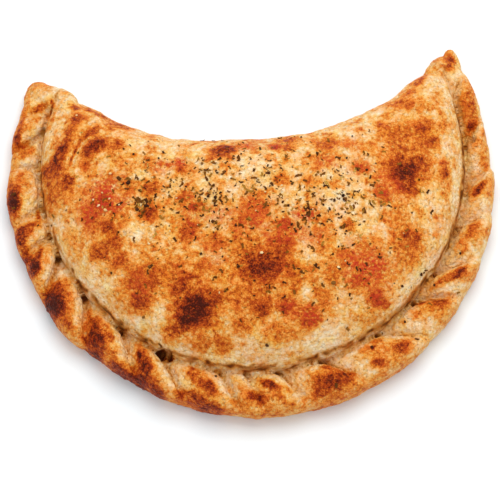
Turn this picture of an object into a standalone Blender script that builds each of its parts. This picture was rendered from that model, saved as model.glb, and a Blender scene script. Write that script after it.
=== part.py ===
"""A calzone: one disc of dough folded over its filling and closed by a rope of folds.

The part is one solid. The filled pocket bulges up behind the rope, the disc's round
edge is folded over itself all the way round the front, and the fold of the disc sags
between two horns at the back. The frame is in metres with +Z up: X runs from the left
horn to the right one, +Y from the rope at the front to the folded back, and the flat
underside lies on z = 0. Sizes below are in millimetres and angles in degrees.
"""

import math

import bmesh
import bpy
from mathutils import Vector

MM = 0.001

# The disc's round edge is an arc of an ellipse. Angles run round it from +X towards +Y.
EDGE_CENTRE = (0.5, 40.0)
EDGE_RADII = (141.0, 147.0)
LEFT_HORN, RIGHT_HORN = 155.5, 393.0

# The back, where the disc is folded, sags in a parabola between the horns.
BACK_LOW_POINT = (-8.0, 59.0)
BACK_SAG_LENGTH = 265.0
BACK_LEFT, BACK_RIGHT = -115.0, 118.5

# The filled pocket. Its widest line lies low, and its crown leans towards the back.
POCKET_TOP = 52.0
POCKET_HORN_TOP = 16.0
POCKET_RISE_POWER = 0.9
POCKET_EQUATOR = 8.0
POCKET_FULLNESS = 0.80
POCKET_LEAN = 0.10
POCKET_END_SQUARENESS = 22.0

# The rope of folds along the round edge, thin at the horns and thick at the front.
ROPE_WIDTH_LEFT, ROPE_WIDTH_RIGHT = 16.0, 12.0
ROPE_WIDTH_SWELL = 19.0
ROPE_SWELL_POWER = 1.2
ROPE_HEIGHT_HORN, ROPE_HEIGHT_FRONT = 16.0, 24.0
ROPE_SEAM_SHARE = 0.91
ROPE_FULLNESS = 0.9
ROPE_END_SQUARENESS = 30.0

# The creases between the folds, as angles at the seam. Each runs forward on its way out.
LEFT_CREASES = (159.5, 170.0, 176.5, 189.0, 197.0, 203.0, 214.0, 227.0, 239.0, 259.0)
RIGHT_CREASES = (279.0, 291.0, 307.0, 321.0, 331.0, 344.0, 354.0, 367.0, 385.0)
CREASES = LEFT_CREASES + RIGHT_CREASES
CREASE_RUN_LEFT, CREASE_RUN_RIGHT, CREASE_RUN_FRONT = 4.5, 2.5, 13.0
CREASE_RUN_POWER = 1.5
FOLD_RELIEF_SHARE = 0.32
FOLD_TOP_RELIEF = 0.9
FOLD_SIDE_RELIEF = 0.3
FOLD_OUTER_RELIEF = 0.4
FOLD_LEAD = 1.8
FOLD_PLUMPNESS = 0.6

# The pinched ends of the horns: each pinch has its middle, heading, length, radius and flatness.
PINCHES = {
    "left_tip": ((-122.0, 89.5, 7.5), 98.0, 26.0, 11.0, 0.75),
    "left_web": ((-113.5, 89.5, 9.0), 156.0, 30.0, 9.0, 0.95),
    "right_tip": ((116.0, 110.5, 6.0), 92.0, 26.0, 6.5, 0.85),
    "right_web": ((111.5, 99.0, 6.5), 80.0, 38.0, 14.0, 0.70),
}
PINCH_DROOP = 0.12
PINCH_TAPER = 0.35
PINCH_ROUNDNESS = 2.4

# The sheet of dough under it all, with a nearly square section.
SOLE_HEIGHT = 10.0
SOLE_INSET_SHARE = 0.4
SOLE_BACK_INSET = 0.08
SOLE_FULLNESS = 0.5
SOLE_END_SQUARENESS = 14.0

# The grids of the closed pieces, as rings along each one and sides round its section.
POCKET_GRID = (72, 48)
SOLE_GRID = (56, 24)
ROPE_GRID = (420, 40)
PINCH_GRID = (14, 16)

# How the pieces are run together and faceted. They dip below z = 0 to be cut flat there.
BELOW_FLOOR = 3.0
VOXEL = 1.4
SMOOTHING_ROUNDS = 2
SMOOTHING_FACTOR = 0.5
TRIANGLES_WANTED = 7800
CUT_TOLERANCE = 0.02
FLOOR_TOLERANCE = 0.05

CRUST_COLOUR = (0.62, 0.33, 0.12, 1.0)
CRUST_ROUGHNESS = 0.6


def blend(start, end, share):
    """The value that lies this share of the way from start to end."""
    return start + (end - start) * share


def swell(share):
    """0 at the ends of the crescent and 1 in its middle, as shares of its length."""
    return math.sin(math.pi * min(max(share, 0.0), 1.0))


def squared(value, power):
    """A sine or cosine raised to a power with its sign kept, which squares a section."""
    return math.copysign(abs(value) ** power, value)


def end_cap(share, squareness):
    """1 along a piece and 0 at its two ends, which it rounds off."""
    return math.sqrt(max(0.0, 1.0 - abs(2.0 * share - 1.0) ** squareness))


def edge_angle(share):
    """The angle on the round edge at this share of the way from the left horn."""
    return blend(LEFT_HORN, RIGHT_HORN, share)


def edge_share(angle):
    """The share of the way from the left horn at this angle on the round edge."""
    return (angle - LEFT_HORN) / (RIGHT_HORN - LEFT_HORN)


def edge_point(angle, inset, height=0.0):
    """A point this far inside the round edge."""
    turn = math.radians(angle)
    return Vector(
        (
            EDGE_CENTRE[0] + (EDGE_RADII[0] - inset) * math.cos(turn),
            EDGE_CENTRE[1] + (EDGE_RADII[1] - inset) * math.sin(turn),
            height,
        )
    )


def back_point(share):
    """A point on the folded back, at this share of the way from the left horn."""
    x = blend(BACK_LEFT, BACK_RIGHT, share)
    return Vector((x, BACK_LOW_POINT[1] + (x - BACK_LOW_POINT[0]) ** 2 / BACK_SAG_LENGTH, 0.0))


def rope_width(share):
    """The rope's width in plan at this share of the way from the left horn."""
    at_horns = blend(ROPE_WIDTH_LEFT, ROPE_WIDTH_RIGHT, share)
    return at_horns + ROPE_WIDTH_SWELL * swell(share) ** ROPE_SWELL_POWER


def rope_height(share):
    """The height of the rope's middle folds at this share of the way from the left horn."""
    return blend(ROPE_HEIGHT_HORN, ROPE_HEIGHT_FRONT, swell(share) ** ROPE_SWELL_POWER)


def fold_rise(angle, across):
    """How high the rope stands on its folds here: 0 in a crease and 1 on a crest.

    The creases start at the seam, where across is 0, and run forward on their way to the
    outer edge, where it is 1. Each fold climbs slowly and drops off at its leading side.
    """
    share = edge_share(angle)
    run = blend(CREASE_RUN_LEFT, CREASE_RUN_RIGHT, share)
    run = blend(run, CREASE_RUN_FRONT, swell(share) ** CREASE_RUN_POWER)
    at_seam = angle - run * across
    creases = (2.0 * CREASES[0] - CREASES[1], *CREASES, 2.0 * CREASES[-1] - CREASES[-2])
    for before, after in zip(creases, creases[1:]):
        if before <= at_seam < after:
            through = (at_seam - before) / (after - before)
            return math.sin(math.pi * through**FOLD_LEAD) ** FOLD_PLUMPNESS
    return 0.0


def shaped_sphere(name, grid, place):
    """A closed piece made from a UV sphere of so many rings and sides.

    Its poles are turned to the ends, and place(share, turn) gives each point's new
    position from its share of the length and its angle round the section.
    """
    rings, sides = grid
    mesh = bpy.data.meshes.new(name)
    ball = bmesh.new()
    bmesh.ops.create_uvsphere(ball, u_segments=sides, v_segments=rings, radius=1.0)
    for vertex in ball.verts:
        share = math.acos(max(-1.0, min(1.0, -vertex.co.z))) / math.pi
        turn = math.atan2(vertex.co.y, vertex.co.x)
        vertex.co = place(share, turn) * MM
    bmesh.ops.recalc_face_normals(ball, faces=ball.faces)
    ball.to_mesh(mesh)
    ball.free()
    piece = bpy.data.objects.new(name, mesh)
    bpy.context.scene.collection.objects.link(piece)
    return piece


def make_pocket():
    """The filled bulge, from the folded back to the seam along the rope."""

    def place(share, turn):
        front = edge_point(edge_angle(share), ROPE_SEAM_SHARE * rope_width(share))
        cap = end_cap(share, POCKET_END_SQUARENESS)
        across = squared(math.cos(turn), POCKET_FULLNESS) * cap
        across += POCKET_LEAN * (1.0 - across**2)
        point = blend(front, back_point(share), 0.5 + 0.5 * across)
        top = blend(POCKET_HORN_TOP, POCKET_TOP, swell(share) ** POCKET_RISE_POWER)
        rise = squared(math.sin(turn), POCKET_FULLNESS) * cap
        depth = top - POCKET_EQUATOR if rise > 0.0 else POCKET_EQUATOR + BELOW_FLOOR
        point.z = POCKET_EQUATOR + depth * rise
        return point

    return shaped_sphere("pocket", POCKET_GRID, place)


def make_sole():
    """The flat sheet under the pocket and the rope, which makes the underside one face."""

    def place(share, turn):
        front = edge_point(edge_angle(share), SOLE_INSET_SHARE * rope_width(share))
        back = blend(back_point(share), front, SOLE_BACK_INSET)
        cap = end_cap(share, SOLE_END_SQUARENESS)
        point = blend(front, back, 0.5 + 0.5 * squared(math.cos(turn), SOLE_FULLNESS) * cap)
        depth = SOLE_HEIGHT if math.sin(turn) > 0.0 else BELOW_FLOOR
        point.z = depth * squared(math.sin(turn), SOLE_FULLNESS) * cap
        return point

    return shaped_sphere("sole", SOLE_GRID, place)


def make_rope():
    """The round edge, folded over itself: a thick tube whose folds stand out from it."""

    def place(share, turn):
        angle = edge_angle(share)
        width = rope_width(share)
        inward, upward = math.cos(turn), math.sin(turn)
        outer_side = 0.5 - 0.5 * inward
        relief = FOLD_RELIEF_SHARE * width * blend(1.0, FOLD_OUTER_RELIEF, outer_side)
        showing = min(max(0.5 + upward, 0.0), 1.0)
        sunk = relief * (1.0 - fold_rise(angle, outer_side) * showing)
        cap = end_cap(share, ROPE_END_SQUARENESS)
        wide = 0.5 * width - FOLD_SIDE_RELIEF * sunk
        middle = 0.5 * rope_height(share)
        tall = middle - FOLD_TOP_RELIEF * sunk if upward > 0.0 else middle + BELOW_FLOOR
        point = edge_point(angle, 0.5 * width + wide * cap * squared(inward, ROPE_FULLNESS))
        point.z = middle + tall * cap * squared(upward, ROPE_FULLNESS)
        return point

    return shaped_sphere("rope", ROPE_GRID, place)


def make_pinch(name):
    """A pinched end of a horn: a small cone of dough that points out of the crescent."""
    middle, heading, length, radius, flatness = PINCHES[name]
    lean = math.radians(heading)
    ahead = Vector((math.cos(lean), math.sin(lean), -PINCH_DROOP)).normalized()
    side = ahead.cross(Vector((0.0, 0.0, 1.0))).normalized()
    up = side.cross(ahead)

    def place(share, turn):
        wide = radius * end_cap(share, PINCH_ROUNDNESS) * (1.0 - PINCH_TAPER * share)
        ring = side * math.cos(turn) + up * flatness * math.sin(turn)
        return Vector(middle) + ahead * length * (share - 0.5) + ring * wide

    return shaped_sphere(name, PINCH_GRID, place)


def joined(name, pieces):
    """One object that holds the meshes of all these pieces, which are removed."""
    whole = bmesh.new()
    for piece in pieces:
        whole.from_mesh(piece.data)
        bpy.data.objects.remove(piece)
    mesh = bpy.data.meshes.new(name)
    whole.to_mesh(mesh)
    whole.free()
    body = bpy.data.objects.new(name, mesh)
    bpy.context.scene.collection.objects.link(body)
    return body


def evaluated_mesh(piece):
    """A new mesh of the piece as its modifiers leave it."""
    graph = bpy.context.evaluated_depsgraph_get()
    return bpy.data.meshes.new_from_object(piece.evaluated_get(graph))


def fuse(piece):
    """Grows the overlapping pieces into one skin, softens it and thins its triangles."""
    skin = piece.modifiers.new("one_skin", "REMESH")
    skin.mode = "VOXEL"
    skin.voxel_size = VOXEL * MM
    soften = piece.modifiers.new("soften", "SMOOTH")
    soften.factor = SMOOTHING_FACTOR
    soften.iterations = SMOOTHING_ROUNDS
    dense = len(evaluated_mesh(piece).polygons) * 2
    thin = piece.modifiers.new("thin", "DECIMATE")
    thin.ratio = TRIANGLES_WANTED / dense
    piece.data = evaluated_mesh(piece)
    piece.modifiers.clear()


def settle(piece):
    """Cuts the underside flat on z = 0 and puts the origin under the middle of the box."""
    body = bmesh.new()
    body.from_mesh(piece.data)
    everything = body.verts[:] + body.edges[:] + body.faces[:]
    bmesh.ops.bisect_plane(
        body, geom=everything, dist=CUT_TOLERANCE * MM, plane_no=(0, 0, 1), clear_inner=True
    )
    bmesh.ops.holes_fill(body, edges=[edge for edge in body.edges if edge.is_boundary])
    for vertex in body.verts:
        if abs(vertex.co.z) < FLOOR_TOLERANCE * MM:
            vertex.co.z = 0.0
    bmesh.ops.triangulate(body, faces=body.faces[:])
    xs = [vertex.co.x for vertex in body.verts]
    ys = [vertex.co.y for vertex in body.verts]
    shift = Vector((min(xs) + max(xs), min(ys) + max(ys), 0.0)) / -2.0
    bmesh.ops.translate(body, vec=shift, verts=body.verts)
    bmesh.ops.recalc_face_normals(body, faces=body.faces)
    body.to_mesh(piece.data)
    body.free()
    piece.data.shade_smooth()


def crust_material():
    """Baked wheat dough: golden, dry and matt."""
    material = bpy.data.materials.new("crust")
    material.use_nodes = True
    shader = material.node_tree.nodes["Principled BSDF"]
    shader.inputs["Base Color"].default_value = CRUST_COLOUR
    shader.inputs["Roughness"].default_value = CRUST_ROUGHNESS
    shader.inputs["Metallic"].default_value = 0.0
    return material


def main():
    """Clears the scene and builds the calzone in a collection of its own."""
    for thing in list(bpy.data.objects):
        bpy.data.objects.remove(thing)
    pieces = [make_pocket(), make_sole(), make_rope()]
    pieces += [make_pinch(name) for name in PINCHES]
    calzone = joined("calzone", pieces)
    fuse(calzone)
    settle(calzone)
    calzone.data.materials.append(crust_material())
    home = bpy.data.collections.new("calzone")
    bpy.context.scene.collection.children.link(home)
    bpy.context.scene.collection.objects.unlink(calzone)
    home.objects.link(calzone)


main()
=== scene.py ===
"""A baked calzone, finished for its look: blistered dough, a rope of folds, herbs, pepper and crumbs.

Lengths are in millimetres unless a name says otherwise, and angles in degrees. The frame is
that of the solid: X from the left horn to the right one, +Y from the rope at the front to the
folded back, and z = 0 on the flat underside. The dough is drawn in the plan's own frame, in
which its round edge is an arc of an ellipse, and is then set down on the solid's box.
"""

import enum
import logging
import math
import random
from dataclasses import dataclass, field
from typing import Callable, Iterable, NamedTuple, Sequence

import bpy
import numpy as np
from mathutils import Matrix, Vector, noise
from mathutils.bvhtree import BVHTree

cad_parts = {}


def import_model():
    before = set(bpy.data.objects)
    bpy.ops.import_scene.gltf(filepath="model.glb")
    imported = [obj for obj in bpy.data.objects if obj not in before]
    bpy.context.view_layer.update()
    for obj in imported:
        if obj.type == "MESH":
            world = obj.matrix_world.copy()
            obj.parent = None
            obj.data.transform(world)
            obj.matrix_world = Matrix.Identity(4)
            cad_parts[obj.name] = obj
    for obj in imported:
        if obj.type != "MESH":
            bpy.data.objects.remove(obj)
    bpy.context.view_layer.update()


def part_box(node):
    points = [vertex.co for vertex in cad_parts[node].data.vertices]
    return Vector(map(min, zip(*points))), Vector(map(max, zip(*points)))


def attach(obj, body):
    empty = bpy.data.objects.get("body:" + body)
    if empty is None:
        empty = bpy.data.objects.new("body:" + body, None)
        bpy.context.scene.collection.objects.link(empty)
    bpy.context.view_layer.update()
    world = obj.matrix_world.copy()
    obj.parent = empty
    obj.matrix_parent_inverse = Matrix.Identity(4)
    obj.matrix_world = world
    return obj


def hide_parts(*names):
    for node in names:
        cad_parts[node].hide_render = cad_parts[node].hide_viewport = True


MM = 0.001
NODE = "calzone"

Colour = tuple[float, float, float, float]
Values = np.ndarray | float

log = logging.getLogger("calzone")


# ---------------------------------------------------------------- small tools


def linear(hex_colour: str) -> Colour:
    """Turns an sRGB hex colour into linear light.

    Args:
        hex_colour: The colour, such as "#C87A32".

    Returns:
        Red, green, blue and an alpha of 1.
    """
    parts = [int(hex_colour[i : i + 2], 16) / 255.0 for i in (1, 3, 5)]
    r, g, b = (p / 12.92 if p <= 0.04045 else ((p + 0.055) / 1.055) ** 2.4 for p in parts)
    return (r, g, b, 1.0)


def per_mm(size: float) -> float:
    """A texture scale, per metre, at which one cell of a pattern measures this many mm."""
    return 1.0 / (size * MM)


def add_node(
    tree: bpy.types.NodeTree,
    kind: str,
    settings: dict[str, object] | None = None,
    inputs: dict[str | int, object] | None = None,
) -> bpy.types.Node:
    """Adds a node to a tree, sets it up and fills or links its inputs.

    Args:
        tree: The material's or the world's node tree.
        kind: The node's type, such as "ShaderNodeMix".
        settings: Property names with values. "stops" holds a colour ramp's (place, colour) pairs.
        inputs: Input names or numbers, each with a plain value or with the socket to link.

    Returns:
        The new node.
    """
    node = tree.nodes.new(kind)
    for name, value in (settings or {}).items():
        if name == "stops":
            elements = node.color_ramp.elements
            while len(elements) < len(value):
                elements.new(1.0)
            for element, (place, colour) in zip(elements, value):
                element.position = place
                element.color = colour
        else:
            setattr(node, name, value)
    for key, value in (inputs or {}).items():
        if isinstance(value, bpy.types.NodeSocket):
            tree.links.new(value, node.inputs[key])
        else:
            node.inputs[key].default_value = value
    return node


def new_material(name: str) -> tuple[bpy.types.Material, bpy.types.NodeTree, bpy.types.Node]:
    """Starts a material.

    Args:
        name: What the material is, in plain words.

    Returns:
        The material, its node tree and its Principled BSDF.
    """
    material = bpy.data.materials.new(name)
    material.use_nodes = True
    tree = material.node_tree
    return material, tree, tree.nodes["Principled BSDF"]


def deselect_all() -> None:
    """Deselects every object, so that the next operator acts on its own piece alone."""
    if bpy.context.mode != "OBJECT":
        bpy.ops.object.mode_set(mode="OBJECT")
    bpy.ops.object.select_all(action="DESELECT")


def pick(piece: bpy.types.Object) -> None:
    """Makes a piece the only selected one and the active one.

    Args:
        piece: The piece on which the next operator is to act.
    """
    deselect_all()
    piece.select_set(True)
    bpy.context.view_layer.objects.active = piece


def points_of(piece: bpy.types.Object) -> np.ndarray:
    """Reads where a piece's vertices are.

    Args:
        piece: The piece, whose object stands at the origin.

    Returns:
        The vertices in mm, one row each.
    """
    flat = np.empty(len(piece.data.vertices) * 3, np.float32)
    piece.data.vertices.foreach_get("co", flat)
    return flat.reshape(-1, 3).astype(float) / MM


def move_points(piece: bpy.types.Object, points: np.ndarray) -> None:
    """Puts the piece's vertices at these places, in mm."""
    piece.data.vertices.foreach_set("co", (points * MM).astype(np.float32).ravel())
    piece.data.update()


def normals_of(piece: bpy.types.Object) -> np.ndarray:
    """Reads which way a piece's vertices face.

    Args:
        piece: The piece.

    Returns:
        The vertex normals, one row each.
    """
    flat = np.empty(len(piece.data.vertices) * 3, np.float32)
    piece.data.vertex_normals.foreach_get("vector", flat)
    return flat.reshape(-1, 3).astype(float)


def join(pieces: Sequence[bpy.types.Object], name: str) -> bpy.types.Object:
    """Joins pieces into one.

    Args:
        pieces: The objects to join, which become one.
        name: The name of the result.

    Returns:
        The joined object.
    """
    deselect_all()
    for piece in pieces:
        piece.select_set(True)
    bpy.context.view_layer.objects.active = pieces[0]
    bpy.ops.object.join()
    pieces[0].name = name
    pieces[0].data.name = name
    return pieces[0]


def apply_modifier(piece: bpy.types.Object, kind: str, **settings: object) -> None:
    """Adds a modifier to a piece and applies it.

    Args:
        piece: The piece that it changes.
        kind: The modifier's type, such as "SMOOTH".
        **settings: Its property names with their values.
    """
    pick(piece)
    modifier = piece.modifiers.new(kind.lower(), kind)
    for name, value in settings.items():
        setattr(modifier, name, value)
    bpy.ops.object.modifier_apply(modifier=modifier.name)


def smooth_noise(points: np.ndarray, size: float, octaves: int = 2, seed: int = 0) -> np.ndarray:
    """Smooth noise on points in space.

    Args:
        points: Places in mm, one row each.
        size: The size in mm of the noise's largest lumps.
        octaves: How many finer layers it has.
        seed: Picks another part of the endless pattern.

    Returns:
        A value for each point, mostly between -1 and 1.
    """
    shifted = points / size + seed * np.array((17.31, 9.17, 5.71))
    return np.array([noise.fractal(p, 0.8, 2.0, octaves) for p in shifted]) * 1.4


def blend(start: Values, end: Values, share: Values) -> Values:
    """The value that lies this share of the way from start to end."""
    return start + (end - start) * share


def swell(share: np.ndarray) -> np.ndarray:
    """0 at the ends of the crescent and 1 in its middle, as shares of its length."""
    return np.sin(np.pi * np.clip(share, 0.0, 1.0))


def squared(value: np.ndarray, power: float) -> np.ndarray:
    """A sine or cosine raised to a power with its sign kept, which squares a section."""
    return np.copysign(np.abs(value) ** power, value)


def end_cap(share: np.ndarray, squareness: float) -> np.ndarray:
    """1 along a piece and 0 at its two ends, which it rounds off."""
    return np.sqrt(np.maximum(0.0, 1.0 - np.abs(2.0 * share - 1.0) ** squareness))


def soft_step(value: np.ndarray, low: float, high: float) -> np.ndarray:
    """0 below low, 1 above high and a smooth climb in between."""
    through = np.clip((value - low) / (high - low), 0.0, 1.0)
    return through * through * (3.0 - 2.0 * through)


# ---------------------------------------------------------------- the dough's shape


@dataclass(frozen=True)
class Crescent:
    """The plan of the calzone: a round edge at the front and a sagging fold between two horns."""

    edge_centre: tuple[float, float] = (0.5, 40.0)
    edge_radii: tuple[float, float] = (140.4, 144.8)
    left_horn: float = 155.5
    right_horn: float = 393.0
    back_low_point: tuple[float, float] = (-8.0, 59.0)
    back_sag_length: float = 265.0
    back_left: float = -115.0
    back_right: float = 118.5
    back_waves: tuple[tuple[float, float, float], ...] = (
        (-103.0, 12.0, -1.8),
        (-87.0, 14.0, -1.4),
        (-68.0, 18.0, -3.2),
        (-50.0, 14.0, -1.8),
        (2.0, 34.0, 2.4),
        (93.0, 12.0, 2.6),
    )

    def angle(self, share: np.ndarray) -> np.ndarray:
        """The angle on the round edge at this share of the way from the left horn."""
        return blend(self.left_horn, self.right_horn, share)

    def share(self, angle: np.ndarray) -> np.ndarray:
        """The share of the way from the left horn at this angle on the round edge."""
        return (angle - self.left_horn) / (self.right_horn - self.left_horn)

    def edge_point(self, angle: np.ndarray, inset: np.ndarray) -> np.ndarray:
        """Points on the floor along the round edge.

        Args:
            angle: Angles round the edge.
            inset: How far inside the edge each point lies.

        Returns:
            The points, one row each.
        """
        turn = np.radians(angle)
        x = self.edge_centre[0] + (self.edge_radii[0] - inset) * np.cos(turn)
        y = self.edge_centre[1] + (self.edge_radii[1] - inset) * np.sin(turn)
        return np.stack([x, y, np.zeros_like(x)], axis=1)

    def back_point(self, share: np.ndarray) -> np.ndarray:
        """Points on the floor under the folded back.

        Args:
            share: Shares of the way from the left horn to the right one.

        Returns:
            The points, one row each.
        """
        x = blend(self.back_left, self.back_right, share)
        y = self.back_low_point[1] + (x - self.back_low_point[0]) ** 2 / self.back_sag_length
        for middle, half_length, lift in self.back_waves:
            y += lift * (1.0 - soft_step(np.abs(x - middle) / half_length, 0.3, 1.0))
        return np.stack([x, y, np.zeros_like(x)], axis=1)

    def find(self, points: np.ndarray) -> tuple[np.ndarray, np.ndarray]:
        """Where points lie on the round edge.

        Args:
            points: Places in the plan's frame, one row each.

        Returns:
            Each point's angle round the edge, and how far inside the edge it lies.
        """
        across = points[:, 0] - self.edge_centre[0]
        along = points[:, 1] - self.edge_centre[1]
        inset = np.zeros(len(points))
        for _ in range(4):
            reach = np.hypot(across / (self.edge_radii[0] - inset), along / (self.edge_radii[1] - inset))
            inset = np.clip(inset + (1.0 - reach) * (self.edge_radii[0] - inset), -20.0, 120.0)
        turn = np.arctan2(along / (self.edge_radii[1] - inset), across / (self.edge_radii[0] - inset))
        angle = np.degrees(turn)
        return np.where(angle < self.left_horn - 60.0, angle + 360.0, angle), inset


@dataclass(frozen=True)
class Fold:
    """A fold of the rope, with the crease that starts it.

    The crease meets the seam and the outer edge at two angles. Its depth and the fold's
    height are shares of the full ones, and the setback is how far the fold's outer end
    stays inside the round edge.
    """

    at_seam: float
    at_edge: float
    depth: float
    height: float
    setback: float


@dataclass(frozen=True)
class RopeShape:
    """The sizes of the rope of folds: thin at the horns, thick at the front."""

    width_left: float = 18.0
    width_right: float = 15.3
    width_swell: float = 11.7
    swell_power: float = 1.3
    height_horn: float = 16.0
    height_front: float = 24.0
    bow: float = 0.62
    crest: tuple[float, float] = (0.54, 0.72)
    behind_power: tuple[float, float] = (0.90, 1.25)
    ahead_power: float = 0.62
    folds: tuple[Fold, ...] = (
        Fold(146.0, 150.0, 0.00, 1.00, 0.3),
        Fold(158.0, 164.5, 0.50, 0.96, 0.6),
        Fold(165.0, 173.5, 0.90, 0.84, 1.8),
        Fold(176.5, 177.0, 0.90, 1.00, 0.0),
        Fold(187.0, 191.5, 0.80, 0.92, 1.0),
        Fold(195.5, 199.5, 0.75, 0.96, 2.0),
        Fold(200.5, 211.0, 1.00, 1.04, 1.0),
        Fold(214.0, 226.0, 1.00, 1.00, 5.0),
        Fold(228.5, 241.0, 1.00, 0.97, 4.2),
        Fold(240.0, 254.0, 1.00, 0.96, 3.4),
        Fold(259.0, 267.5, 0.75, 0.88, 2.2),
        Fold(266.5, 273.0, 0.45, 0.92, 2.6),
        Fold(276.0, 283.5, 0.90, 1.02, 1.8),
        Fold(288.5, 298.5, 0.85, 1.00, 1.6),
        Fold(305.5, 317.0, 0.95, 1.00, 1.6),
        Fold(319.0, 329.5, 0.95, 1.00, 1.4),
        Fold(328.5, 340.5, 0.90, 0.96, 1.2),
        Fold(344.0, 351.5, 0.85, 0.96, 1.6),
        Fold(354.5, 363.0, 0.90, 0.92, 3.2),
        Fold(367.0, 376.0, 1.00, 1.00, 1.0),
        Fold(380.5, 388.0, 0.60, 0.96, 0.0),
        Fold(398.0, 402.0, 0.00, 1.00, 0.0),
    )

    def width(self, share: np.ndarray) -> np.ndarray:
        """The rope's width in plan at this share of the way from the left horn."""
        straight = blend(self.width_left, self.width_right, share)
        return straight + self.width_swell * swell(share) ** self.swell_power

    def height(self, share: np.ndarray) -> np.ndarray:
        """The height of the rope's folds at this share of the way from the left horn."""
        return blend(self.height_horn, self.height_front, swell(share) ** self.swell_power)

    def fold_at(self, angle: np.ndarray, across: np.ndarray) -> tuple[np.ndarray, np.ndarray]:
        """Which fold each place lies on.

        Args:
            angle: Angles round the edge.
            across: How far out over the rope: 0 at the seam and 1 at the outer edge.

        Returns:
            The fold's number, and how far through it the place lies, from 0 at its own
            crease to 1 at the next one.
        """
        bowed = np.clip(across, 0.0, 1.0) ** self.bow
        number = np.zeros(len(angle), int)
        for count, fold in enumerate(self.folds[1:-1], start=1):
            number = np.where(angle >= blend(fold.at_seam, fold.at_edge, bowed), count, number)
        at_seam = np.array([fold.at_seam for fold in self.folds])
        at_edge = np.array([fold.at_edge for fold in self.folds])
        start = blend(at_seam[number], at_edge[number], bowed)
        stop = blend(at_seam[number + 1], at_edge[number + 1], bowed)
        return number, np.clip((angle - start) / (stop - start), 0.0, 1.0)

    def relief(self, angle: np.ndarray, across: np.ndarray, share: np.ndarray) -> tuple[np.ndarray, ...]:
        """The rope's relief on its folds.

        Args:
            angle: Angles round the edge.
            across: How far out over the rope: 0 at the seam and 1 at the outer edge.
            share: Shares of the way from the left horn.

        Returns:
            How deep each place lies in a crease, from 0 to 1, the height of its fold as a
            share, and its setback in mm.
        """
        number, through = self.fold_at(angle, across)
        crest = blend(*self.crest, share)
        behind = np.clip(through / crest, 0.0, 1.0)
        ahead = np.clip((1.0 - through) / (1.0 - crest), 0.0, 1.0)
        climb = np.sin(0.5 * np.pi * behind) ** blend(*self.behind_power, share)
        drop = (1.0 - (1.0 - ahead) ** 2) ** self.ahead_power
        first = through < crest
        rise = np.where(first, climb, drop)
        beside = np.where(first, number, number + 1)
        across_crease = np.where(first, number - 1, number + 1).clip(0, len(self.folds) - 1)
        depth = np.array([fold.depth for fold in self.folds])[beside]
        height, setback = (
            blend(0.5 * (values[number] + values[across_crease]), values[number], rise)
            for values in (
                np.array([fold.height for fold in self.folds]),
                np.array([fold.setback for fold in self.folds]),
            )
        )
        return depth * (1.0 - rise), height, setback


@dataclass(frozen=True)
class Pinch:
    """A pinched end of a horn: a small cone of dough that points out of the crescent."""

    middle: tuple[float, float, float]
    heading: float
    length: float
    radius: float
    flatness: float
    droop: float = 0.12
    taper: float = 0.35
    roundness: float = 2.4

    def place(self, share: np.ndarray, turn: np.ndarray) -> np.ndarray:
        """Points on the cone.

        Args:
            share: Shares of its length, from its root.
            turn: Angles round it, in radians.

        Returns:
            The points, one row each.
        """
        lean = math.radians(self.heading)
        ahead = Vector((math.cos(lean), math.sin(lean), -self.droop)).normalized()
        side = ahead.cross(Vector((0.0, 0.0, 1.0))).normalized()
        up = side.cross(ahead)
        wide = self.radius * end_cap(share, self.roundness) * (1.0 - self.taper * share)
        ring = np.outer(np.cos(turn), side) + np.outer(np.sin(turn) * self.flatness, up)
        return np.array(self.middle) + np.outer(share - 0.5, ahead) * self.length + ring * wide[:, None]


@dataclass(frozen=True)
class Ridge:
    """A soft ridge that stands on the dough, or a groove where its height is negative."""

    start: tuple[float, float]
    end: tuple[float, float]
    width: float
    height: float

    def lift(self, points: np.ndarray) -> np.ndarray:
        """How far the ridge lifts the dough.

        Args:
            points: Places on the dough, one row each.

        Returns:
            The lift at each place, in mm.
        """
        start, end = np.array(self.start), np.array(self.end)
        line = end - start
        offset = points[:, :2] - start
        along = np.clip(offset @ line / (line @ line), 0.0, 1.0)
        away = np.linalg.norm(offset - along[:, None] * line, axis=1) / self.width
        return self.height * np.exp(-away * away) * np.sin(np.pi * blend(0.12, 0.88, along))


@dataclass(frozen=True)
class Pit:
    """A small hole where folds of dough don't quite meet."""

    place: tuple[float, float]
    radius: float
    depth: float

    def lift(self, points: np.ndarray) -> np.ndarray:
        """How far it lifts these points, in mm: it is negative, because it is a hole."""
        away = np.linalg.norm(points[:, :2] - np.array(self.place), axis=1) / self.radius
        return -self.depth * np.exp(-(away**3))


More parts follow.
